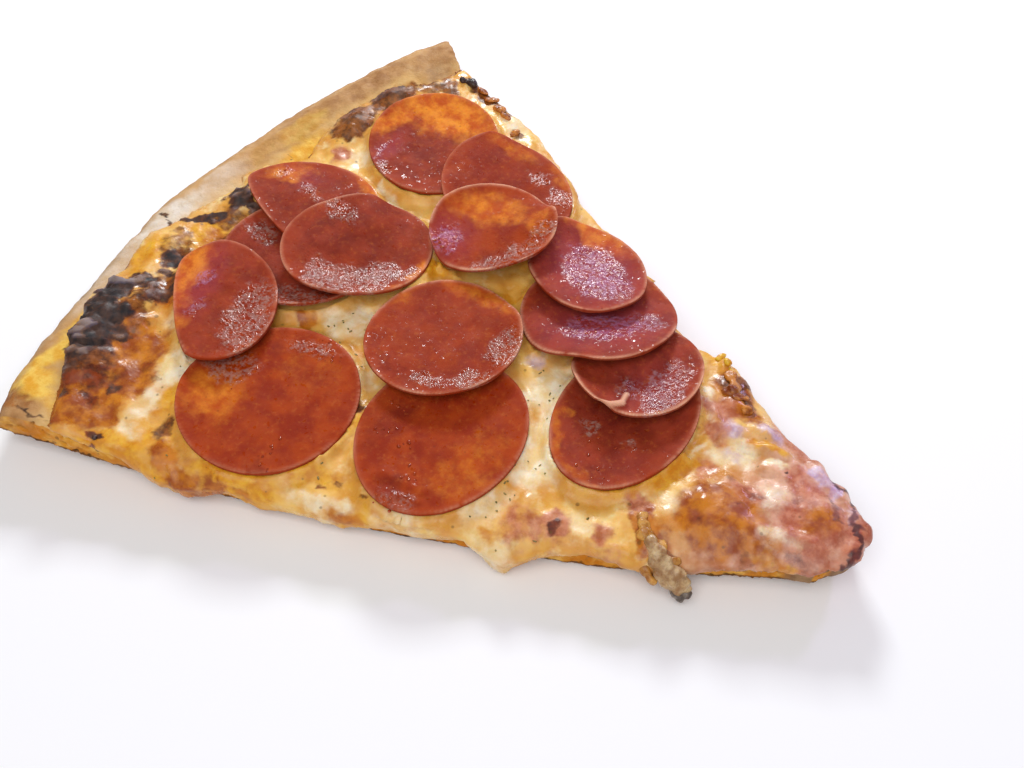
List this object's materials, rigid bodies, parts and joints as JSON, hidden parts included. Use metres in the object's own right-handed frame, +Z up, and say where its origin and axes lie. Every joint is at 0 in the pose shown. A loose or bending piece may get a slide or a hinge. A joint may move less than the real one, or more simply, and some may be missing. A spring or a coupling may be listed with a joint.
{
  "type": "pepperoni pizza slice",
  "caption": "Wedge-shaped slice of baked pizza with a raised browned rim, tomato sauce, melted cheese and overlapping pepperoni, lying flat.",
  "frame": {"origin": "middle of the slice's bounding box in plan, on the surface that it lies on", "axes": "+X from the crust to the tip, +Y towards the cut side away from the viewer, +Z up"},
  "size_m": [0.2346, 0.1988, 0.0242],
  "materials": {
    "baked_dough": "dry baked crust, golden brown with darker patches",
    "tomato_sauce": "wet cooked tomato sauce",
    "melted_cheese": "soft melted cheese, oily, browned in patches",
    "pepperoni": "cured sausage, glossy with its own fat"
  },
  "bodies": {
    "root": {"crust": "baked_dough", "tomato_sauce": "tomato_sauce", "melted_cheese": "melted_cheese", "pepperoni_01": "pepperoni", "pepperoni_02": "pepperoni", "pepperoni_03": "pepperoni", "pepperoni_04": "pepperoni", "pepperoni_05": "pepperoni", "pepperoni_06": "pepperoni", "pepperoni_07": "pepperoni", "pepperoni_08": "pepperoni", "pepperoni_09": "pepperoni", "pepperoni_10": "pepperoni", "pepperoni_11": "pepperoni", "pepperoni_12": "pepperoni", "pepperoni_13": "pepperoni", "pepperoni_14": "pepperoni"}
  },
  "joints": []
}
